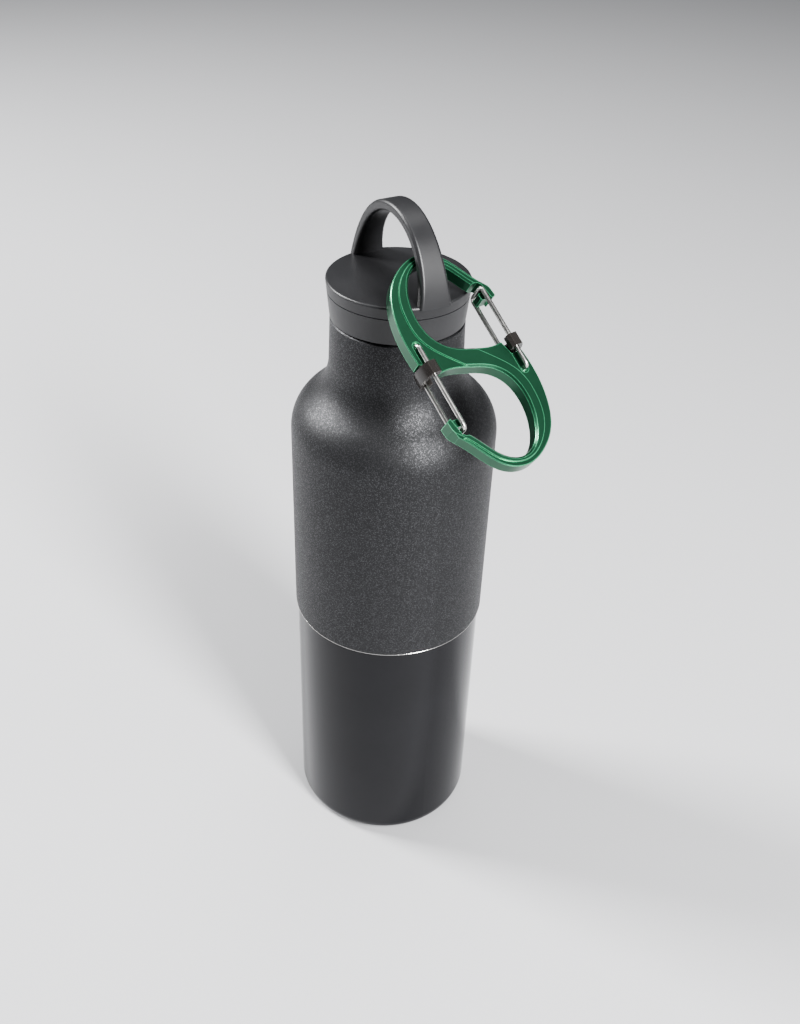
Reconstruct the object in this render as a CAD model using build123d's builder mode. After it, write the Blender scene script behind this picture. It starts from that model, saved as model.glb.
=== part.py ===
from build123d import *
import os
from math import atan2, cos, radians, sin

# Rigid vacuum flask with a screw lid, and an S-shaped double-gate carabiner
# clipped round one leg of the lid's handle.
# Millimetres. +Z is up, z = 0 is the plane that the flask stands on, and Z is
# its turning axis. +X points at the handle leg that carries the carabiner.

# ---------------------------------------------------------------- flask body
BODY_R = 36.5            # coated upper shell, outside
SHELL_WALL = 0.8
LAP_GAP = 0.05           # between the two shells where they telescope
LOWER_R = BODY_R - SHELL_WALL - LAP_GAP
STEP_Z = 104.0           # lower edge of the coated shell
LAP = 8.0
BASE_CORNER_R = 5.5
BASE_RECESS_R = 26.0
BASE_RECESS = 1.2
SHOULDER_Z = 182.1       # where the straight wall ends
SHOULDER_R = 17.0        # convex arc
NECK_Z = 209.3           # where the neck ends
NECK_LOW_R = 23.1
NECK_TOP_R = 22.7
LEDGE_Z = 225.0          # top of the visible neck
FINISH_R = 20.2          # core of the threaded finish
MOUTH_Z = 232.4          # rim of the mouth
LINER_R = 33.3           # inner flask, outside
LINER_WALL = 0.6
LINER_BASE_Z = 8.0
MOUTH_R = 17.8           # clear mouth
THREAD_LEAD = 8.0
THREAD_STARTS = 2
THREAD_DEPTH = 0.8
THREAD_FOOT = 1.5
THREAD_CREST = 0.8

# ----------------------------------------------------------------------- lid
LID_LOW_Z = 225.4
LID_TOP_Z = 239.0
LID_LOW_R = 22.74
LID_TOP_R = 24.1
SEAM_Z = 234.8           # underside of the cover
SEAM = 0.3
LID_EDGE = 0.8           # rounding of the lid's top edge
SKIRT_BORE_R = 21.3
SEAL_T = 1.1
PLUG_R = 17.3
PLUG_LOW_Z = 217.0
PLUG_WALL = 1.6
FLANGE_R = 21.0
ARCH_CENTRE_Z = 236.0
ARCH_HALF_SPAN = 24.2
ARCH_RISE = 28.1
STRAP_T = 3.4
STRAP_FOOT_W = 12.0
STRAP_TOP_W = 8.4

# ---------------------------------------------------------------- carabiner
FRAME_T = 5.6
FRAME_STEP = 0.5         # how far the pivot ends are stepped down
FRAME_BEVEL = 0.7
TILT = 55.0              # elevation of the plate's normal
TWIST = 6.4              # long axis away from straight downhill
CARABINER_CENTRE = (42.3, 1.1, 228.3)   # middle of the plate
PIVOT = (9.2, 15.2)      # gate pivot, in the plate's own axes
GATE_LENGTH = 29.1
WIRE_R = 0.75
WIRE_OFF = FRAME_T / 2 + 0.3 + WIRE_R
WIRE_BEND = 1.4
PIN_CLEARANCE = 0.05
LOCK_FROM_PIVOT = 8.7
LOCK_LENGTH = 4.2
LOCK_HALF_T = 5.9


def lid_radius(z):
    """Outside radius of the tapered lid at height z."""
    share = (z - LID_LOW_Z) / (LID_TOP_Z - LID_LOW_Z)
    return LID_LOW_R + (LID_TOP_R - LID_LOW_R) * share


def shoulder(inset):
    """Wall line from the straight side to the neck, set in by inset.

    Returns the straight side's top, the convex arc's middle, the tangent
    point, the concave arc's middle and the neck's foot.
    """
    convex = SHOULDER_R - inset
    centre = (BODY_R - SHOULDER_R, SHOULDER_Z)
    hollow_r = hollow_radius()
    hollow = (NECK_LOW_R + hollow_r, NECK_Z)
    concave = hollow_r + inset
    lean = atan2(hollow[1] - centre[1], hollow[0] - centre[0])
    half_in = lean / 2
    half_out = (lean + radians(180) + radians(180)) / 2
    side = (centre[0] + convex, centre[1])
    bulge = (centre[0] + convex * cos(half_in), centre[1] + convex * sin(half_in))
    tangent = (centre[0] + convex * cos(lean), centre[1] + convex * sin(lean))
    dip = (hollow[0] + concave * cos(half_out), hollow[1] + concave * sin(half_out))
    foot = (hollow[0] - concave, hollow[1])
    return side, bulge, tangent, dip, foot


def hollow_radius():
    """Radius of the concave arc that meets both the neck and the shoulder."""
    across = BODY_R - SHOULDER_R - NECK_LOW_R
    rise = NECK_Z - SHOULDER_Z
    return (across**2 + rise**2 - SHOULDER_R**2) / (2 * (SHOULDER_R + across))


def wall_line(inset):
    """The shoulder's edges, in a BuildLine, from the side up to the neck."""
    side, bulge, tangent, dip, foot = shoulder(inset)
    ThreePointArc(side, bulge, tangent)
    ThreePointArc(tangent, dip, foot)
    return side, foot


def ring(outer, inner, low, high):
    """A plain ring, for use inside a BuildPart block."""
    with BuildSketch(Plane.XY.offset(low)) as section:
        Circle(outer)
        Circle(inner, mode=Mode.SUBTRACT)
    extrude(section.sketch, amount=high - low)


def thread(core, depth, low, turns, turned):
    """One thread start: a ridge that stands out of (depth > 0) or into a core radius."""
    root = core - 0.15 if depth > 0 else core + 0.15
    with BuildPart() as ridge:
        with BuildLine() as path:
            Helix(THREAD_LEAD, THREAD_LEAD * turns, core, center=(0, 0, low))
        with BuildSketch(Plane((core, 0, low), x_dir=(1, 0, 0), z_dir=path.line % 0)):
            with BuildLine():
                Polyline(
                    (root - core, -THREAD_FOOT / 2),
                    (depth, -THREAD_CREST / 2),
                    (depth, THREAD_CREST / 2),
                    (root - core, THREAD_FOOT / 2),
                    close=True,
                )
            make_face()
        sweep(path=path.line, is_frenet=True)
    return ridge.part.rotate(Axis.Z, turned)


# ------------------------------------------------------------- upper shell
with BuildPart() as upper_shell:
    with BuildSketch(Plane.XZ):
        with BuildLine():
            outer_side, outer_foot = wall_line(0)
            inner_side, inner_foot = wall_line(SHELL_WALL)
            Polyline((inner_side[0], STEP_Z), (BODY_R - 0.5, STEP_Z),
                     (BODY_R, STEP_Z + 0.5), outer_side)
            Line(inner_side, (inner_side[0], STEP_Z))
            Polyline(
                outer_foot,
                (NECK_TOP_R, LEDGE_Z - 0.4),
                (NECK_TOP_R - 0.4, LEDGE_Z),
                (FINISH_R, LEDGE_Z),
                (FINISH_R, MOUTH_Z - 0.5),
                (FINISH_R - 0.5, MOUTH_Z),
                (MOUTH_R + 0.3, MOUTH_Z),
                (MOUTH_R, MOUTH_Z - 0.3),
                (MOUTH_R, MOUTH_Z - SHELL_WALL),
                (FINISH_R - SHELL_WALL, MOUTH_Z - SHELL_WALL),
                (FINISH_R - SHELL_WALL, LEDGE_Z - SHELL_WALL),
                (NECK_TOP_R - SHELL_WALL, LEDGE_Z - SHELL_WALL),
                inner_foot,
            )
        make_face()
    revolve(axis=Axis.Z)
    for start in range(THREAD_STARTS):
        add(thread(FINISH_R, THREAD_DEPTH, LEDGE_Z + 1.5, 0.55, 360 / THREAD_STARTS * start))
upper_shell.part.label = "upper_shell"

# ------------------------------------------------------------- lower shell
with BuildPart() as lower_shell:
    with BuildSketch(Plane.XZ):
        with BuildLine():
            inner_r = LOWER_R - SHELL_WALL
            bend = BASE_CORNER_R
            Line((inner_r, STEP_Z + LAP), (LOWER_R, STEP_Z + LAP))
            Line((LOWER_R, STEP_Z + LAP), (LOWER_R, bend))
            RadiusArc((LOWER_R, bend), (LOWER_R - bend, 0), bend)
            Line((LOWER_R - bend, 0), (BASE_RECESS_R, 0))
            Line((BASE_RECESS_R, 0), (BASE_RECESS_R, SHELL_WALL))
            Line((BASE_RECESS_R, SHELL_WALL), (LOWER_R - bend, SHELL_WALL))
            RadiusArc((LOWER_R - bend, SHELL_WALL), (inner_r, bend), -(bend - SHELL_WALL))
            Line((inner_r, bend), (inner_r, STEP_Z + LAP))
        make_face()
    revolve(axis=Axis.Z)
lower_shell.part.label = "lower_shell"

# ------------------------------------------------- base cap and its evacuation seal
with BuildPart() as base_cap:
    ring(BASE_RECESS_R + 2.0, 1.2, BASE_RECESS, BASE_RECESS + SHELL_WALL)
    with BuildSketch(Plane.XY.offset(SHELL_WALL)):
        Circle(BASE_RECESS_R + 2.0)
        Circle(BASE_RECESS_R + 0.8, mode=Mode.SUBTRACT)
    extrude(amount=BASE_RECESS - SHELL_WALL)
base_cap.part.label = "base_cap"

with BuildPart() as seal_bead:
    with BuildSketch(Plane.XZ):
        with BuildLine():
            Polyline((0, BASE_RECESS + SHELL_WALL), (0, 0.5))
            ThreePointArc((0, 0.5), (2.0, 0.75), (2.9, BASE_RECESS))
            Polyline((2.9, BASE_RECESS), (1.2, BASE_RECESS), (1.2, BASE_RECESS + SHELL_WALL),
                     (0, BASE_RECESS + SHELL_WALL))
        make_face()
    revolve(axis=Axis.Z)
seal_bead.part.label = "seal_bead"

# -------------------------------------------------------------- inner flask
LINER_INSET = BODY_R - LINER_R
LINER_BASE_R = 9.0
NECK_TUBE_R = MOUTH_R + LINER_WALL
liner_top = MOUTH_Z - SHELL_WALL


def liner_side(inset, radius):
    """One face of the inner flask's wall: base corner, side, shoulder, neck tube."""
    base_z = LINER_BASE_Z + (inset - LINER_INSET)
    corner = LINER_BASE_R - (inset - LINER_INSET)
    side_r = BODY_R - inset
    side, foot = wall_line(inset)
    Line((0, base_z), (side_r - corner, base_z))
    RadiusArc((side_r - corner, base_z), (side_r, base_z + corner), -corner)
    Line((side_r, base_z + corner), side)
    Polyline(foot, (radius, NECK_Z + 6.0), (radius, liner_top))


with BuildPart() as inner_liner:
    with BuildSketch(Plane.XZ):
        with BuildLine():
            liner_side(LINER_INSET, NECK_TUBE_R)
            liner_side(LINER_INSET + LINER_WALL, MOUTH_R)
            Line((NECK_TUBE_R, liner_top), (MOUTH_R, liner_top))
            Line((0, LINER_BASE_Z), (0, LINER_BASE_Z + LINER_WALL))
        make_face()
    revolve(axis=Axis.Z)
inner_liner.part.label = "inner_liner"

with BuildPart() as heat_foil:
    ring(LINER_R + 0.25, LINER_R + 0.1, LINER_BASE_Z + LINER_BASE_R + 4, SHOULDER_Z - 6)
heat_foil.part.label = "heat_foil"

GETTER_X = 14.0
GETTER_R = 4.5
GETTER_Z = 4.6
CLIP_T = 0.3
CLIP_IN = GETTER_R + 0.6
CLIP_REACH = 9.0
with BuildPart() as getter:
    with BuildSketch(Plane.XY.offset(GETTER_Z)):
        with Locations((GETTER_X, 0)):
            Circle(GETTER_R)
    extrude(amount=2.6)
    chamfer(getter.edges(), 0.4)
getter.part.label = "getter"

with BuildPart() as getter_clip:
    with BuildSketch(Plane.XZ):
        with BuildLine():
            clip_top = LINER_BASE_Z
            clip_low = GETTER_Z - 0.1
            outline = (
                (-CLIP_REACH, clip_top), (-CLIP_REACH, clip_top - CLIP_T),
                (-CLIP_IN - CLIP_T, clip_top - CLIP_T), (-CLIP_IN - CLIP_T, clip_low - CLIP_T),
                (CLIP_IN + CLIP_T, clip_low - CLIP_T), (CLIP_IN + CLIP_T, clip_top - CLIP_T),
                (CLIP_REACH, clip_top - CLIP_T), (CLIP_REACH, clip_top),
                (CLIP_IN, clip_top), (CLIP_IN, clip_low),
                (-CLIP_IN, clip_low), (-CLIP_IN, clip_top),
            )
            Polyline(*[(GETTER_X + x, z) for x, z in outline], close=True)
        make_face()
    extrude(amount=1.5, both=True)
getter_clip.part.label = "getter_clip"

# ---------------------------------------------------------------------- lid
with BuildPart() as lid_skirt:
    with BuildSketch(Plane.XZ):
        with BuildLine():
            top = SEAM_Z - SEAM
            Polyline(
                (SKIRT_BORE_R, LID_LOW_Z),
                (LID_LOW_R - 0.3, LID_LOW_Z),
                (LID_LOW_R, LID_LOW_Z + 0.3),
                (lid_radius(top), top),
                (lid_radius(top) - 0.9, top),
                (lid_radius(top) - 0.9, SEAM_Z),
                (SKIRT_BORE_R, SEAM_Z),
                close=True,
            )
        make_face()
    revolve(axis=Axis.Z)
    for start in range(THREAD_STARTS):
        add(thread(SKIRT_BORE_R, -THREAD_DEPTH, LEDGE_Z + 1.9, 0.55,
                   90 + 360 / THREAD_STARTS * start))
lid_skirt.part.label = "lid_skirt"

with BuildPart() as lid_cover:
    with BuildSketch(Plane.XZ):
        with BuildLine():
            rim_z = LID_TOP_Z - LID_EDGE
            Polyline((0, SEAM_Z), (lid_radius(SEAM_Z), SEAM_Z), (lid_radius(rim_z), rim_z))
            ThreePointArc(
                (lid_radius(rim_z), rim_z),
                (LID_TOP_R - 0.35 * LID_EDGE, LID_TOP_Z - 0.3 * LID_EDGE),
                (LID_TOP_R - LID_EDGE, LID_TOP_Z),
            )
            Polyline((LID_TOP_R - LID_EDGE, LID_TOP_Z), (0, LID_TOP_Z), (0, SEAM_Z))
        make_face()
    revolve(axis=Axis.Z)
with BuildPart() as strap:
    with BuildSketch(Plane.XZ):
        with Locations((0, ARCH_CENTRE_Z)):
            Ellipse(ARCH_HALF_SPAN, ARCH_RISE)
            Ellipse(ARCH_HALF_SPAN - STRAP_T, ARCH_RISE - STRAP_T, mode=Mode.SUBTRACT)
        with Locations((0, LID_TOP_Z - 1.0 - 40)):
            Rectangle(80, 80, mode=Mode.SUBTRACT)
    extrude(amount=STRAP_FOOT_W, both=True)
    with BuildSketch(Plane.YZ):
        with BuildLine():
            apex = ARCH_CENTRE_Z + ARCH_RISE + 1
            foot_z = LID_TOP_Z - 2
            half_foot = STRAP_FOOT_W / 2
            half_top = STRAP_TOP_W / 2
            Line((-half_foot, foot_z), (half_foot, foot_z))
            ThreePointArc((half_foot, foot_z), (half_top + 0.45, foot_z + 11), (half_top, apex))
            Line((half_top, apex), (-half_top, apex))
            ThreePointArc((-half_top, apex), (-half_top - 0.45, foot_z + 11), (-half_foot, foot_z))
        make_face()
    extrude(amount=40, both=True, mode=Mode.INTERSECT)
    arch_edges = strap.edges().filter_by(lambda e: e.bounding_box().size.Z > 8)
    fillet(arch_edges, 1.1)
with lid_cover:
    add(strap.part)
lid_cover.part.label = "lid_cover"

with BuildPart() as lid_plug:
    seat = MOUTH_Z + SEAL_T + 0.1
    with BuildSketch(Plane.XZ):
        with BuildLine():
            Polyline(
                (0, PLUG_LOW_Z), (PLUG_R - 1.2, PLUG_LOW_Z), (PLUG_R, PLUG_LOW_Z + 1.2),
                (PLUG_R, seat), (FLANGE_R, seat), (FLANGE_R, SEAM_Z),
                (PLUG_R - PLUG_WALL, SEAM_Z), (PLUG_R - PLUG_WALL, PLUG_LOW_Z + PLUG_WALL),
                (0, PLUG_LOW_Z + PLUG_WALL), close=True,
            )
        make_face()
    revolve(axis=Axis.Z)
lid_plug.part.label = "lid_plug"

with BuildPart() as plug_foam:
    with BuildSketch(Plane.XY.offset(PLUG_LOW_Z + PLUG_WALL)):
        Circle(PLUG_R - PLUG_WALL - 0.1)
    extrude(amount=SEAM_Z - 0.1 - PLUG_LOW_Z - PLUG_WALL)
plug_foam.part.label = "plug_foam"

with BuildPart() as plug_disc:
    with BuildSketch(Plane.XY.offset(PLUG_LOW_Z - 0.6)):
        Circle(PLUG_R - 1.6)
    extrude(amount=0.6)
    fillet(plug_disc.edges().group_by(Axis.Z)[0], 0.4)
plug_disc.part.label = "plug_disc"

with BuildPart() as lid_seal:
    ring(FINISH_R - 0.2, MOUTH_R + 0.2, MOUTH_Z + 0.05, MOUTH_Z + 0.05 + SEAL_T)
    fillet(lid_seal.edges(), 0.3)
lid_seal.part.label = "lid_seal"

# ---------------------------------------------------------------- carabiner
normal = Vector(cos(radians(TILT)), 0, sin(radians(TILT)))
downhill = Vector(sin(radians(TILT)), 0, -cos(radians(TILT)))
long_axis = downhill * cos(radians(TWIST)) + Vector(0, 1, 0) * sin(radians(TWIST))
plate = Plane(origin=CARABINER_CENTRE, x_dir=long_axis, z_dir=normal)
across = Axis(plate.origin, plate.z_dir)

END_R = 6.0
end_low = (PIVOT[0] - END_R * cos(radians(17)), PIVOT[1] - END_R * sin(radians(17)))
end_mid = (PIVOT[0] - END_R, PIVOT[1])
end_high = (PIVOT[0] - END_R * cos(radians(23)), PIVOT[1] + END_R * sin(radians(23)))
LOOP_OUTER = [
    end_high, (12.8, 17.8), (21.4, 16.3), (29.6, 12.4), (35.1, 6.0),
    (37.3, -1.5), (35.1, -8.0), (30.1, -12.2), (25.1, -15.2), (21.6, -17.7),
]
LIP = [
    (21.6, -17.7), (18.9, -18.7), (16.1, -19.0), (15.5, -17.5), (21.2, -16.4),
    (22.0, -15.4), (22.3, -13.6),
]
LOOP_INNER = [
    (22.3, -13.6), (28.8, -9.5), (33.1, -5.4), (34.3, -1.5), (32.7, 3.2), (27.7, 7.3),
    (21.4, 9.5), (15.6, 9.9), (9.8, 8.4), (5.5, 4.6), (2.7, -2.0), (1.2, -7.6), (1.2, -12.2),
]
STEP_LINE = [
    (-4.6, 0.5), (-1.9, 3.0), (3.3, 7.9), (10.3, 12.6), (18.2, 13.4), (26.0, 11.6),
    (32.5, 6.6), (35.7, 0.0), (35.1, -4.8), (32.2, -9.2), (27.5, -12.6), (22.8, -15.8),
]


def turned(point):
    """The same place on the other half of the S."""
    return (-point[0], -point[1])


def half_outline(sign):
    """Half of the S outline, in a BuildLine."""
    flip = turned if sign < 0 else tuple
    Spline(*[flip(p) for p in LOOP_OUTER])
    Polyline(*[flip(p) for p in LIP])
    Spline(*[flip(p) for p in LOOP_INNER])
    Line(flip(LOOP_INNER[-1]), flip(turned(end_low)))
    ThreePointArc(flip(turned(end_low)), flip(turned(end_mid)), flip(turned(end_high)))


with BuildPart() as carabiner_frame:
    with BuildSketch(plate.offset(-FRAME_T / 2)):
        with BuildLine():
            half_outline(1)
            half_outline(-1)
        make_face()
    extrude(amount=FRAME_T)
    for end in (-1, 0):
        rim = carabiner_frame.faces().sort_by(across)[end]
        chamfer(rim.edges().filter_by(GeomType.BSPLINE), FRAME_BEVEL)
    for face_side in (1, -1):
        with BuildSketch(plate.offset(face_side * FRAME_T / 2)):
            for sign in (1, -1):
                flip = turned if sign < 0 else tuple
                with BuildLine():
                    Spline(*[flip(p) for p in STEP_LINE])
                    Polyline(flip(STEP_LINE[-1]), flip((20.0, -24.0)), flip((44.0, -24.0)),
                             flip((44.0, 26.0)), flip((-4.5, 26.0)), flip(STEP_LINE[0]))
                make_face()
        extrude(amount=-face_side * FRAME_STEP, mode=Mode.SUBTRACT)
    for sign in (1, -1):
        with BuildSketch(plate.offset(-2.3)):
            with BuildLine():
                Polyline(*[(sign * u, sign * v) for u, v in (
                    (16.1, -17.8), (16.2, -14.4), (16.7, -13.9), (18.4, -13.9), (18.6, -14.3),
                    (18.6, -17.8))], close=True)
            make_face()
        extrude(amount=4.6)
    with BuildSketch(plate.offset(-FRAME_T)):
        with Locations(PIVOT, turned(PIVOT)):
            Circle(WIRE_R + PIN_CLEARANCE)
    extrude(amount=2 * FRAME_T, mode=Mode.SUBTRACT)
    for face_side in (1, -1):
        with BuildSketch(plate.offset(face_side * FRAME_T / 2)):
            for sign in (1, -1):
                with Locations((sign * (PIVOT[0] - 2.6), sign * (PIVOT[1] - 0.4))):
                    SlotOverall(8.4, 2.6)
        extrude(amount=-face_side * 1.1, mode=Mode.SUBTRACT)
carabiner_frame.part.label = "carabiner_frame"


def gate_wire(sign):
    """A bent-wire gate: two legs, a closed nose end and two pins in the pivot."""
    pin = 0.6
    far = PIVOT[0] - GATE_LENGTH
    with BuildPart() as wire:
        route = [
            plate.from_local_coords((sign * u, sign * PIVOT[1], w))
            for u, w in (
                (PIVOT[0], pin), (PIVOT[0], WIRE_OFF), (far, WIRE_OFF),
                (far, -WIRE_OFF), (PIVOT[0], -WIRE_OFF), (PIVOT[0], -pin),
            )
        ]
        with BuildLine() as path:
            FilletPolyline(*route, radius=WIRE_BEND)
        with BuildSketch(Plane(origin=route[0], z_dir=path.line % 0)):
            Circle(WIRE_R)
        sweep(path=path.line)
    return wire


def slide_lock(sign):
    """A plastic slide that straddles both legs and is open towards the loop."""
    start = PIVOT[0] - LOCK_FROM_PIVOT - LOCK_LENGTH / 2
    face = Plane(
        origin=plate.from_local_coords((sign * start, sign * PIVOT[1], 0)),
        x_dir=plate.z_dir,
        z_dir=plate.x_dir * sign,
    )
    # in this plane x runs through the plate and y across it; the outer side is +y
    out = 1 if face.y_dir.dot(plate.y_dir * sign) > 0 else -1
    with BuildPart() as lock:
        with BuildSketch(face):
            with BuildLine():
                Polyline((-LOCK_HALF_T, 1.2 * out), (-LOCK_HALF_T, -1.2 * out),
                         (-LOCK_HALF_T + 0.9, -2.1 * out), (LOCK_HALF_T - 0.9, -2.1 * out),
                         (LOCK_HALF_T, -1.2 * out), (LOCK_HALF_T, 1.2 * out))
                ThreePointArc((LOCK_HALF_T, 1.2 * out), (0, 3.1 * out), (-LOCK_HALF_T, 1.2 * out))
            make_face()
            with Locations((0, (1.6 - 4) * out)):
                Rectangle(FRAME_T + 0.5, 8, mode=Mode.SUBTRACT)
            with Locations((WIRE_OFF, 0), (-WIRE_OFF, 0)):
                Circle(WIRE_R + 0.12, mode=Mode.SUBTRACT)
        extrude(amount=LOCK_LENGTH)
    return lock


upper_gate = gate_wire(1)
upper_gate.part.label = "upper_gate"
lower_gate = gate_wire(-1)
lower_gate.part.label = "lower_gate"
upper_slide_lock = slide_lock(1)
upper_slide_lock.part.label = "upper_slide_lock"
lower_slide_lock = slide_lock(-1)
lower_slide_lock.part.label = "lower_slide_lock"

# -------------------------------------------------------------------- export
PIECES = [
    upper_shell, lower_shell, base_cap, seal_bead, inner_liner, heat_foil, getter, getter_clip,
    lid_cover, lid_skirt, lid_plug, plug_foam, plug_disc, lid_seal, carabiner_frame,
    upper_gate, lower_gate, upper_slide_lock, lower_slide_lock,
]
os.makedirs("parts", exist_ok=True)
for piece in PIECES:
    export_step(piece.part, f"parts/{piece.part.label}.step")
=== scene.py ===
import math
from collections import namedtuple

import bmesh
import bpy
from mathutils import Matrix, Vector


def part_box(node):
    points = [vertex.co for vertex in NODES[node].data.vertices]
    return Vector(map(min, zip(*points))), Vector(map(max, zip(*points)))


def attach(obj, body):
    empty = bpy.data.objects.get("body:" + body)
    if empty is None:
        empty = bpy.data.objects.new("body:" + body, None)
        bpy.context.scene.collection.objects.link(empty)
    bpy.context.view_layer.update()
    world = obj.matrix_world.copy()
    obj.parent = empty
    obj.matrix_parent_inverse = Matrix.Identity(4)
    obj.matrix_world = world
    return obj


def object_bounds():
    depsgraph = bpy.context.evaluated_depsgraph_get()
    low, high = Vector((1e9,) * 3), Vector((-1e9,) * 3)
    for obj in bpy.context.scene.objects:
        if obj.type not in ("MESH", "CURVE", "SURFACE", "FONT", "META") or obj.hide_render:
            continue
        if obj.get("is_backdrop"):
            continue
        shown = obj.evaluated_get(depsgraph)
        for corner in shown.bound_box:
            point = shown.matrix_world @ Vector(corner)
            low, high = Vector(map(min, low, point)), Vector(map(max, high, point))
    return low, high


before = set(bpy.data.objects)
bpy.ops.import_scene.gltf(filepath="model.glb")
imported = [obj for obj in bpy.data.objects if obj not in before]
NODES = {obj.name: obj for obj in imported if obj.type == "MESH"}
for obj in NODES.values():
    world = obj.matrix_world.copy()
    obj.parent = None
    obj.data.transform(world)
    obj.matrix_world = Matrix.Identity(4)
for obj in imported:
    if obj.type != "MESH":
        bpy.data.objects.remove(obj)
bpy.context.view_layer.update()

bl_info = {
    "name": "Insulated bottle with clip",
    "version": (1, 0, 0),
    "blender": (4, 5, 0),
    "location": "View3D > Sidebar > Bottle",
    "description": "Finishes for a steel bottle, its screw lid and the clip on its handle",
    "category": "Object",
}

MM = 0.001
FULL_TURN = 2 * math.pi


# ------------------------------------------------------------------ settings
class BottleSizes(bpy.types.PropertyGroup):
    """Sizes of what is added round the frame"""

    bead: bpy.props.FloatProperty(
        name="Edge bead", description="Thickness of the polished bead under the coat's edge",
        default=0.44 * MM, unit="LENGTH", precision=5)
    soft_edge: bpy.props.FloatProperty(
        name="Soft edge", description="Rounding of the moulded slide locks' edges",
        default=0.25 * MM, unit="LENGTH", precision=5)
    floor_width: bpy.props.FloatProperty(
        name="Floor width", description="Width of the square floor", default=8.0, unit="LENGTH")
    lens: bpy.props.FloatProperty(
        name="Lens", description="Focal length of the camera in millimetres",
        default=38.94, subtype="DISTANCE_CAMERA")


class BottleColours(bpy.types.PropertyGroup):
    """Colours of the finishes"""

    coat: bpy.props.FloatVectorProperty(
        name="Powder coat", description="Colour of the textured coat",
        default=(0.019, 0.0193, 0.0205), subtype="COLOR")
    fleck: bpy.props.FloatVectorProperty(
        name="Coat fleck", description="Colour of the metal flecks in the coat",
        default=(0.060, 0.060, 0.064), subtype="COLOR")
    gloss: bpy.props.FloatVectorProperty(
        name="Gloss black", description="Colour of the polished lower shell",
        default=(0.006, 0.006, 0.007), subtype="COLOR")
    plastic: bpy.props.FloatVectorProperty(
        name="Lid plastic", description="Colour of the lid and its handle",
        default=(0.016, 0.016, 0.0172), subtype="COLOR")
    rubber: bpy.props.FloatVectorProperty(
        name="Gasket rubber", description="Colour of the lid's gasket",
        default=(0.1, 0.1, 0.105), subtype="COLOR")
    green: bpy.props.FloatVectorProperty(
        name="Anodised green", description="Colour of the clip",
        default=(0.0235, 0.092, 0.050), subtype="COLOR")
    steel: bpy.props.FloatVectorProperty(
        name="Steel", description="Colour of bare steel",
        default=(0.56, 0.55, 0.53), subtype="COLOR")
    smoke: bpy.props.FloatVectorProperty(
        name="Smoky plastic", description="Colour of the slide locks",
        default=(0.017, 0.015, 0.014), subtype="COLOR")
    floor: bpy.props.FloatVectorProperty(
        name="Floor colour", description="Colour of the floor",
        default=(0.47, 0.47, 0.48), subtype="COLOR")


# --------------------------------------------------------- shader node groups
# Spans of a value: where its mask starts, and where the mask is full.
WHOLE = (0.0, 1.0)
# Nearly all of a noise texture's values lie in this span.
NOISE_SPAN = (0.3, 0.7)
# A fleck shows where a cell's random value is in this span, and is brightest at its top.
FLECK_SPAN = (0.62, 1.0)
# How far the rounded and the flat normal agree where an edge starts to show, and on the edge itself.
EDGE_SPAN = (0.995, 0.93)
EDGE_SAMPLES = 6


def new_group(name, setting, default, outputs):
    """An empty shader node group with one float input, called setting, and float outputs."""
    tree = bpy.data.node_groups.new(name, "ShaderNodeTree")
    socket = tree.interface.new_socket(setting, in_out="INPUT", socket_type="NodeSocketFloat")
    socket.default_value = default
    for label in outputs:
        tree.interface.new_socket(label, in_out="OUTPUT", socket_type="NodeSocketFloat")
    given = tree.nodes.new("NodeGroupInput").outputs[setting]
    return tree, given, tree.nodes.new("NodeGroupOutput").inputs


def object_place(tree):
    """The socket that gives a point's place on its own piece, in metres."""
    return tree.nodes.new("ShaderNodeTexCoord").outputs["Object"]


def noise(tree, vector, scale, detail, roughness):
    """The value of a noise texture with scale linked to its Scale."""
    node = tree.nodes.new("ShaderNodeTexNoise")
    node.inputs["Detail"].default_value = detail
    node.inputs["Roughness"].default_value = roughness
    tree.links.new(vector, node.inputs["Vector"])
    tree.links.new(scale, node.inputs["Scale"])
    return node.outputs["Fac"]


def remap(tree, value, span, new_span=WHOLE):
    """The value, moved from one span to another and held inside it."""
    node = tree.nodes.new("ShaderNodeMapRange")
    for label, number in zip(("From Min", "From Max", "To Min", "To Max"), (*span, *new_span)):
        node.inputs[label].default_value = number
    tree.links.new(value, node.inputs["Value"])
    return node.outputs["Result"]


def compute(tree, operation, *values):
    """The result of a Math node whose inputs are linked to values."""
    node = tree.nodes.new("ShaderNodeMath")
    node.operation = operation
    for socket, value in zip(node.inputs, values):
        tree.links.new(value, socket)
    return node.outputs["Value"]


def fleck_group(name):
    """Metal flecks of random brightness in a coat, and the coat's orange-peel height."""
    tree, scale, out = new_group(name, "Scale", 3900.0, ["Fleck", "Height"])
    place = object_place(tree)
    cells = tree.nodes.new("ShaderNodeTexVoronoi")
    tree.links.new(place, cells.inputs["Vector"])
    tree.links.new(scale, cells.inputs["Scale"])
    chance = tree.nodes.new("ShaderNodeSeparateColor")
    tree.links.new(cells.outputs["Color"], chance.inputs["Color"])
    tree.links.new(remap(tree, chance.outputs["Red"], FLECK_SPAN), out["Fleck"])
    tree.links.new(noise(tree, place, scale, detail=2.0, roughness=0.55), out["Height"])
    return tree


def mottle_group(name):
    """A slow, uneven change over a surface, as handling and cleaning leave."""
    tree, scale, out = new_group(name, "Scale", 40.0, ["Mottle"])
    value = noise(tree, object_place(tree), scale, detail=4.0, roughness=0.6)
    tree.links.new(remap(tree, value, NOISE_SPAN), out["Mottle"])
    return tree


def grain_group(name):
    """Fine moulded or blasted grain."""
    tree, scale, out = new_group(name, "Scale", 2600.0, ["Grain"])
    value = noise(tree, object_place(tree), scale, detail=2.0, roughness=0.5)
    tree.links.new(value, out["Grain"])
    return tree


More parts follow.
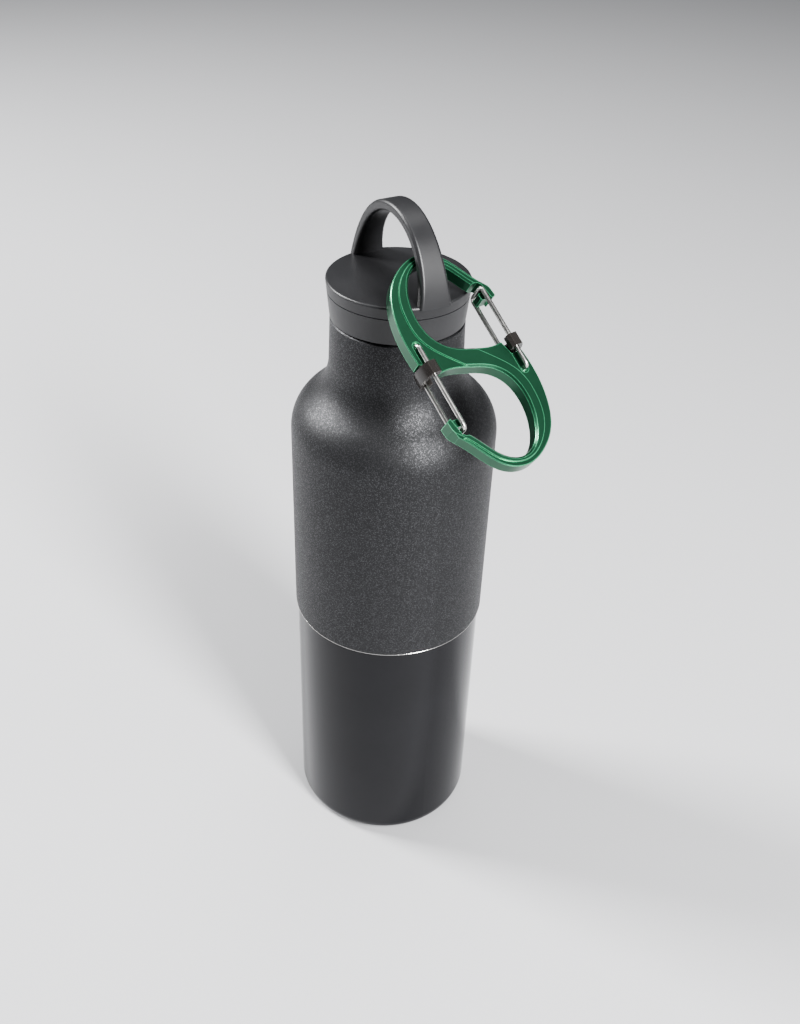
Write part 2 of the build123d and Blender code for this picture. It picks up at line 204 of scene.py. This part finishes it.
# The finishes use this mask to paint a highlight along edges: on the clip only a painted highlight,
# on moulded parts wear and a painted highlight.
def edge_group(name):
    """Where an edge is sharp: 1 on the edge, 0 on the flat."""
    tree, radius, out = new_group(name, "Radius", 0.35 * MM, ["Edge"])
    rounded = tree.nodes.new("ShaderNodeBevel")
    rounded.samples = EDGE_SAMPLES
    tree.links.new(radius, rounded.inputs["Radius"])
    flat = tree.nodes.new("ShaderNodeNewGeometry")
    alike = tree.nodes.new("ShaderNodeVectorMath")
    alike.operation = "DOT_PRODUCT"
    tree.links.new(rounded.outputs["Normal"], alike.inputs[0])
    tree.links.new(flat.outputs["Normal"], alike.inputs[1])
    tree.links.new(remap(tree, alike.outputs["Value"], EDGE_SPAN), out["Edge"])
    return tree


def turned_group(name):
    """Fine lathe lines round the bottle's axis."""
    tree, scale, out = new_group(name, "Scale", 700.0, ["Lines"])
    part = tree.nodes.new("ShaderNodeSeparateXYZ")
    tree.links.new(object_place(tree), part.inputs["Vector"])
    x, y, z = part.outputs
    squares = compute(tree, "MULTIPLY_ADD", y, y, compute(tree, "MULTIPLY", x, x))
    around = tree.nodes.new("ShaderNodeCombineXYZ")
    tree.links.new(compute(tree, "SQRT", squares), around.inputs["X"])
    tree.links.new(z, around.inputs["Z"])
    value = noise(tree, around.outputs["Vector"], scale, detail=3.0, roughness=0.55)
    tree.links.new(value, out["Lines"])
    return tree


GROUPS = {
    "Metal fleck": fleck_group,
    "Handled mottle": mottle_group,
    "Fine grain": grain_group,
    "Edge wear and sheen": edge_group,
    "Turned lines": turned_group,
}


def shade(colour, factor):
    """A lighter or darker colour."""
    return tuple(min(1.0, part * factor) for part in colour)


class Finish:
    """A material under construction: its tree, its Principled shader and the groups placed in it."""

    def __init__(self, name):
        self.material = bpy.data.materials.new(name)
        self.material.use_nodes = True
        self.tree = self.material.node_tree
        self.shader = self.tree.nodes["Principled BSDF"]

    def constants(self, **values):
        """Sets the shader's own sockets. An underscore in a name is a space."""
        for label, value in values.items():
            self.shader.inputs[label.replace("_", " ")].default_value = value

    def effect(self, name, **settings):
        """Places one of the shared groups with its own settings, and returns its outputs."""
        node = self.tree.nodes.new("ShaderNodeGroup")
        node.node_tree = bpy.data.node_groups.get(name) or GROUPS[name](name)
        for label, value in settings.items():
            node.inputs[label].default_value = value
        return node.outputs

    def mix(self, share, first, second):
        """A colour between first and second, each a colour or a socket."""
        node = self.tree.nodes.new("ShaderNodeMix")
        node.data_type = "RGBA"
        self.tree.links.new(share, node.inputs["Factor"])
        for colour, socket in ((first, node.inputs["A"]), (second, node.inputs["B"])):
            if isinstance(colour, bpy.types.NodeSocket):
                self.tree.links.new(colour, socket)
            else:
                socket.default_value = (*colour, 1.0)
        return node.outputs["Result"]

    def tint(self, share, colour, low, high):
        """The colour, made darker or lighter by a factor that goes from low to high with share."""
        return self.mix(share, shade(colour, low), shade(colour, high))

    def link(self, value, label):
        """Feeds one of the shader's sockets."""
        self.tree.links.new(value, self.shader.inputs[label])

    def vary(self, label, value, limits, span=WHOLE):
        """Takes one of the shader's sockets from one limit to the other as value crosses span."""
        self.link(remap(self.tree, value, span, limits), label)

    def bump(self, height, depth, strength):
        """Raises the surface by height times depth, in metres."""
        node = self.tree.nodes.new("ShaderNodeBump")
        node.inputs["Strength"].default_value = strength
        node.inputs["Distance"].default_value = depth
        self.tree.links.new(height, node.inputs["Height"])
        self.link(node.outputs["Normal"], "Normal")


# ------------------------------------------------------------------ finishes
COAT_EDGE = 0.05 * MM       # half the height over which the coat thins out at its upper end
COAT_ROUGHNESS = (0.52, 0.36)       # between the flecks, and on them
NECK_ROUGHNESS = 0.3


def coated_steel(colours, coat_top):
    """Charcoal powder coat with fine metal flecks, and bare steel above coat_top."""
    finish = Finish("coated_steel")
    fleck = finish.effect("Metal fleck", Scale=3900.0)
    mottle = finish.effect("Handled mottle", Scale=26.0)["Mottle"]
    place = finish.tree.nodes.new("ShaderNodeSeparateXYZ")
    finish.tree.links.new(object_place(finish.tree), place.inputs["Vector"])
    bare = remap(finish.tree, place.outputs["Z"], (coat_top - COAT_EDGE, coat_top + COAT_EDGE))
    base = finish.tint(mottle, colours.coat, 0.9, 1.12)
    coat = finish.mix(fleck["Fleck"], base, colours.fleck)
    finish.link(finish.mix(bare, coat, colours.steel), "Base Color")
    finish.vary("Metallic", bare, (0.6, 1.0))
    coat_roughness = remap(finish.tree, fleck["Fleck"], WHOLE, COAT_ROUGHNESS)
    # A grey stands for a number, so one kind of mix serves colour and roughness.
    finish.link(finish.mix(bare, coat_roughness, (NECK_ROUGHNESS,) * 3), "Roughness")
    finish.bump(fleck["Height"], depth=0.09 * MM, strength=0.6)
    return finish.material


def gloss_shell(colours):
    """Polished black, with the faint haze of handling."""
    finish = Finish("gloss_shell")
    finish.constants(IOR=1.31, Coat_Weight=0.04, Coat_Roughness=0.02)
    mottle = finish.effect("Handled mottle", Scale=18.0)["Mottle"]
    finish.link(finish.tint(mottle, colours.gloss, 1.0, 1.5), "Base Color")
    finish.vary("Roughness", mottle, (0.03, 0.07))
    return finish.material


def bare_steel(name, colours, roughness):
    """Turned stainless steel, from polished to satin."""
    finish = Finish(name)
    finish.constants(Metallic=1.0)
    lines = finish.effect("Turned lines", Scale=700.0)["Lines"]
    mottle = finish.effect("Handled mottle", Scale=60.0)["Mottle"]
    finish.link(finish.tint(mottle, colours.steel, 0.93, 1.07), "Base Color")
    finish.vary("Roughness", lines, roughness, NOISE_SPAN)
    finish.bump(lines, depth=0.02 * MM, strength=0.4)
    return finish.material


def drawn_wire(colours):
    """Bright drawn wire, a little uneven from handling."""
    finish = Finish("gate_wire")
    finish.constants(Metallic=1.0)
    mottle = finish.effect("Handled mottle", Scale=160.0)["Mottle"]
    finish.link(finish.tint(mottle, colours.steel, 1.0, 1.2), "Base Color")
    finish.vary("Roughness", mottle, (0.24, 0.34))
    return finish.material


def moulded(name, colour, roughness, grain_scale, grain_depth=0.03 * MM, edge_wear_and_sheen=1.5):
    """Fine-grained moulded plastic or rubber. Edges paler by a factor: wear, and a painted
    highlight.
    """
    finish = Finish(name)
    finish.constants(IOR=1.5)
    grain = finish.effect("Fine grain", Scale=grain_scale)["Grain"]
    mottle = finish.effect("Handled mottle", Scale=45.0)["Mottle"]
    edge = finish.effect("Edge wear and sheen", Radius=0.35 * MM)["Edge"]
    base = finish.tint(mottle, colour, 0.92, 1.1)
    # The edges are lightened by the given factor: partly wear, partly a painted highlight.
    finish.link(finish.mix(edge, base, shade(colour, edge_wear_and_sheen)), "Base Color")
    finish.vary("Roughness", mottle, roughness)
    finish.bump(grain, depth=grain_depth, strength=0.5)
    return finish.material


def anodised(colours):
    """Satin anodised aluminium: blasted grain, and a painted highlight along its sharp edges."""
    finish = Finish("green_anodised")
    finish.constants(Metallic=0.8, Coat_Weight=0.2, Coat_Roughness=0.12)
    grain = finish.effect("Fine grain", Scale=2600.0)["Grain"]
    mottle = finish.effect("Handled mottle", Scale=55.0)["Mottle"]
    edge = finish.effect("Edge wear and sheen", Radius=0.45 * MM)["Edge"]
    base = finish.tint(mottle, colours.green, 0.9, 1.12)
    # Painted highlight: the edges are coloured a much lighter green, standing in for light on the
    # bevels.
    painted_edge_highlight = shade(colours.green, 6.0)
    finish.link(finish.mix(edge, base, painted_edge_highlight), "Base Color")
    finish.vary("Roughness", grain, (0.28, 0.34), NOISE_SPAN)
    finish.bump(grain, depth=0.01 * MM, strength=0.2)
    return finish.material


def hidden_finish(name, colour, metallic, roughness, grain_scale):
    """A part inside the walls or the lid."""
    finish = Finish(name)
    finish.constants(Metallic=metallic)
    grain = finish.effect("Fine grain", Scale=grain_scale)["Grain"]
    finish.link(finish.tint(grain, colour, 0.8, 1.15), "Base Color")
    finish.vary("Roughness", grain, roughness, NOISE_SPAN)
    finish.bump(grain, depth=0.05 * MM, strength=0.4)
    return finish.material


def pale_floor(colours):
    """Plain matt floor with a barely visible tooth."""
    finish = Finish("floor")
    finish.constants(Roughness=0.75)
    grain = finish.effect("Fine grain", Scale=700.0)["Grain"]
    finish.link(finish.tint(grain, colours.floor, 0.985, 1.015), "Base Color")
    return finish.material


# --------------------------------------------------------------------- shapes
RING_SIDES = 256
BEAD_SIDES = 16


def ring(name, radius, height, thickness):
    """A round bead that circles the bottle's axis at a radius and a height."""
    mesh = bpy.data.meshes.new(name)
    built = bmesh.new()
    loops = []
    for step in range(RING_SIDES):
        turn = Matrix.Rotation(FULL_TURN * step / RING_SIDES, 3, "Z")
        loop = []
        for side in range(BEAD_SIDES):
            angle = FULL_TURN * side / BEAD_SIDES
            reach = radius + thickness / 2 * math.cos(angle)
            rise = height + thickness / 2 * math.sin(angle)
            loop.append(built.verts.new(turn @ Vector((reach, 0, rise))))
        loops.append(loop)
    for step, loop in enumerate(loops):
        following = loops[(step + 1) % RING_SIDES]
        for side in range(BEAD_SIDES):
            after = (side + 1) % BEAD_SIDES
            built.faces.new((loop[side], following[side], following[after], loop[after]))
    bmesh.ops.recalc_face_normals(built, faces=built.faces)
    built.to_mesh(mesh)
    built.free()
    mesh.shade_smooth()
    piece = bpy.data.objects.new(name, mesh)
    bpy.context.scene.collection.objects.link(piece)
    return piece


def dress(node, material):
    """Puts a finish on a CAD node, in place of the plain one."""
    slots = NODES[node].data.materials
    slots.clear()
    slots.append(material)


# ------------------------------------------------------------------ operators
COAT_UNDER_LID = 0.6 * MM       # how far the coat goes on above the lid's lower edge
BLACK_GLASS = (0.03, 0.03, 0.03)
BRIGHT_FOIL = (0.8, 0.8, 0.8)
GETTER_GREY = (0.2, 0.2, 0.21)
SPRING_STEEL = (0.5, 0.5, 0.5)
FOAM_WHITE = (0.85, 0.84, 0.8)


class BOTTLE_OT_outer_shells(bpy.types.Operator):
    """Finishes the coated upper shell and the polished lower one, with the bead between them"""

    bl_idname = "bottle.outer_shells"
    bl_label = "Outer shells"

    def execute(self, context):
        colours = context.scene.bottle_colours
        thickness = context.scene.bottle_sizes.bead
        dress("upper_shell", coated_steel(colours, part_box("lid_skirt")[0].z + COAT_UNDER_LID))
        dress("lower_shell", gloss_shell(colours))
        low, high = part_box("upper_shell")
        bead = ring("coat_edge_bead", high.x - thickness / 2, low.z + thickness / 2, thickness)
        bead.data.materials.append(bare_steel("bead_steel", colours, roughness=(0.12, 0.22)))
        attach(bead, "bottle")
        return {"FINISHED"}


class BOTTLE_OT_inside(bpy.types.Operator):
    """Finishes the inner flask, the base and what the vacuum space holds"""

    bl_idname = "bottle.inside"
    bl_label = "Inner flask and base"

    def execute(self, context):
        colours = context.scene.bottle_colours
        dress("inner_liner", bare_steel("liner_steel", colours, roughness=(0.24, 0.38)))
        dress("base_cap", bare_steel("base_steel", colours, roughness=(0.28, 0.42)))
        dress("seal_bead", hidden_finish(
            "seal_glass", BLACK_GLASS, metallic=0.0, roughness=(0.1, 0.25), grain_scale=900.0))
        dress("heat_foil", hidden_finish(
            "foil", BRIGHT_FOIL, metallic=1.0, roughness=(0.12, 0.35), grain_scale=300.0))
        dress("getter", hidden_finish(
            "getter_metal", GETTER_GREY, metallic=0.8, roughness=(0.6, 0.8), grain_scale=1800.0))
        dress("getter_clip", hidden_finish(
            "clip_steel", SPRING_STEEL, metallic=1.0, roughness=(0.25, 0.4), grain_scale=900.0))
        return {"FINISHED"}


class BOTTLE_OT_lid(bpy.types.Operator):
    """Finishes the lid, its handle, plug and gasket"""

    bl_idname = "bottle.lid"
    bl_label = "Lid and handle"

    def execute(self, context):
        colours = context.scene.bottle_colours
        plastic = moulded("lid_plastic", colours.plastic, roughness=(0.34, 0.46), grain_scale=2600.0)
        dress("lid_cover", plastic)
        dress("lid_skirt", plastic)
        dress("lid_plug", moulded(
            "plug_plastic", shade(colours.plastic, 2.0), roughness=(0.4, 0.5), grain_scale=2200.0))
        dress("plug_disc", bare_steel("disc_steel", colours, roughness=(0.2, 0.3)))
        dress("plug_foam", hidden_finish(
            "foam", FOAM_WHITE, metallic=0.0, roughness=(0.8, 0.95), grain_scale=1200.0))
        dress("lid_seal", moulded(
            "seal_rubber", colours.rubber, roughness=(0.55, 0.7), grain_scale=1800.0,
            grain_depth=0.02 * MM, edge_wear_and_sheen=1.1))
        return {"FINISHED"}


class BOTTLE_OT_clip(bpy.types.Operator):
    """Finishes the clip's frame, its two wire gates and their slide locks"""

    bl_idname = "bottle.clip"
    bl_label = "Clip, gates and locks"

    def execute(self, context):
        colours = context.scene.bottle_colours
        dress("carabiner_frame", anodised(colours))
        wire = drawn_wire(colours)
        smoke = moulded(
            "lock_plastic", colours.smoke, roughness=(0.22, 0.34), grain_scale=2400.0,
            grain_depth=0.02 * MM, edge_wear_and_sheen=2.2)
        for end in ("upper", "lower"):
            dress(end + "_gate", wire)
            dress(end + "_slide_lock", smoke)
            soft = NODES[end + "_slide_lock"].modifiers.new("soft edges", "BEVEL")
            soft.width = context.scene.bottle_sizes.soft_edge
            soft.segments = 3
            soft.limit_method = "ANGLE"
        return {"FINISHED"}


# ---------------------------------------------------------------------- stage
# The camera stands on the clip's side of the bottle, above the lid, and looks down on it. Its
# heading is measured from +Y, clockwise seen from above.
CAMERA_PLACE = Vector((0.2905, -0.1677, 0.39128))
CAMERA_HEADING = math.radians(-59.43)
CAMERA_DIP = math.radians(36.446)
CAMERA_ROLL = math.radians(2.257)

# Angles are in degrees. A bearing is where the light stands as seen from the bottle, clockwise
# from the camera's heading. Distances and sizes are in metres, and power is in watts.
SoftLight = namedtuple("SoftLight", "name bearing elevation distance width height power")
SOFT_LIGHTS = (
    SoftLight("key", bearing=-72, elevation=36, distance=1.4, width=0.35, height=0.9, power=44),
    SoftLight("front", bearing=143, elevation=34, distance=1.3, width=0.3, height=1.1, power=52),
    SoftLight("top", bearing=20, elevation=74, distance=1.6, width=0.7, height=0.7, power=8),
)
LIT_POINT = Vector((0, 0, 0.13))
STUDIO_COLOUR = (0.75, 0.78, 0.82, 1.0)
STUDIO_STRENGTH = 0.15
FLOOR_GAP = 0.02 * MM


def direction(heading, rise):
    """The unit vector along a heading from +Y, clockwise seen from above, that climbs by rise."""
    level = math.cos(rise)
    return Vector((math.sin(heading) * level, math.cos(heading) * level, math.sin(rise)))


def add_object(scene, name, data):
    """An object in the scene that holds the data."""
    piece = bpy.data.objects.new(name, data)
    scene.collection.objects.link(piece)
    return piece


def add_soft_light(scene, light):
    """A softbox that faces the middle of the bottle."""
    data = bpy.data.lights.new(light.name, "AREA")
    data.shape = "RECTANGLE"
    data.size = light.width
    data.size_y = light.height
    data.energy = light.power
    out = direction(CAMERA_HEADING + math.radians(light.bearing), math.radians(light.elevation))
    lamp = add_object(scene, light.name, data)
    lamp.location = LIT_POINT + out * light.distance
    lamp.rotation_euler = (-out).to_track_quat("-Z", "Y").to_euler()


def add_camera(scene, lens):
    """The camera, at its place and heading, tipped down and rolled a little."""
    data = bpy.data.cameras.new("camera")
    data.lens = lens
    data.dof.use_dof = False
    ahead = direction(CAMERA_HEADING, -CAMERA_DIP)
    level = ahead.cross(Vector((0, 0, 1))).normalized()
    top = level.cross(ahead)
    right = level * math.cos(CAMERA_ROLL) + top * math.sin(CAMERA_ROLL)
    up = top * math.cos(CAMERA_ROLL) - level * math.sin(CAMERA_ROLL)
    turn = Matrix((right, up, -ahead)).transposed()
    body = add_object(scene, "camera", data)
    body.matrix_world = Matrix.Translation(CAMERA_PLACE) @ turn.to_4x4()
    scene.camera = body


class BOTTLE_OT_stage(bpy.types.Operator):
    """Sets the floor, the soft lights, the world and the camera"""

    bl_idname = "bottle.stage"
    bl_label = "Stage"

    def execute(self, context):
        scene = context.scene
        sizes = scene.bottle_sizes
        bpy.ops.mesh.primitive_grid_add(x_subdivisions=4, y_subdivisions=4, size=sizes.floor_width)
        floor = context.object
        floor.name = "floor"
        floor.location.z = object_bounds()[0].z - FLOOR_GAP
        floor.data.materials.append(pale_floor(scene.bottle_colours))
        floor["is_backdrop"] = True
        scene.world = bpy.data.worlds.new("studio")
        scene.world.use_nodes = True
        background = scene.world.node_tree.nodes["Background"]
        background.inputs["Color"].default_value = STUDIO_COLOUR
        background.inputs["Strength"].default_value = STUDIO_STRENGTH
        for light in SOFT_LIGHTS:
            add_soft_light(scene, light)
        add_camera(scene, sizes.lens)
        scene.view_settings.look = "AgX - Medium High Contrast"
        return {"FINISHED"}


# ---------------------------------------------------------------------- panel
STEPS = (
    BOTTLE_OT_outer_shells, BOTTLE_OT_inside, BOTTLE_OT_lid, BOTTLE_OT_clip, BOTTLE_OT_stage,
)


class BOTTLE_PT_panel(bpy.types.Panel):
    """The bottle's settings, and a button for each step that finishes it"""

    bl_idname = "BOTTLE_PT_panel"
    bl_label = "Insulated bottle"
    bl_space_type = "VIEW_3D"
    bl_region_type = "UI"
    bl_category = "Bottle"

    def draw(self, context):
        for settings in (context.scene.bottle_sizes, context.scene.bottle_colours):
            for label in settings.__annotations__:
                self.layout.prop(settings, label)
        for step in STEPS:
            self.layout.operator(step.bl_idname)


CLASSES = (BottleSizes, BottleColours, *STEPS, BOTTLE_PT_panel)


def register():
    """Registers the classes, and gives each scene the bottle's settings."""
    for part in CLASSES:
        bpy.utils.register_class(part)
    bpy.types.Scene.bottle_sizes = bpy.props.PointerProperty(type=BottleSizes)
    bpy.types.Scene.bottle_colours = bpy.props.PointerProperty(type=BottleColours)


def unregister():
    """Takes back what register did."""
    del bpy.types.Scene.bottle_colours
    del bpy.types.Scene.bottle_sizes
    for part in reversed(CLASSES):
        bpy.utils.unregister_class(part)


def main():
    """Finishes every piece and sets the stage."""
    register()
    bpy.ops.bottle.outer_shells()
    bpy.ops.bottle.inside()
    bpy.ops.bottle.lid()
    bpy.ops.bottle.clip()
    bpy.ops.bottle.stage()


if __name__ == "__main__":
    main()
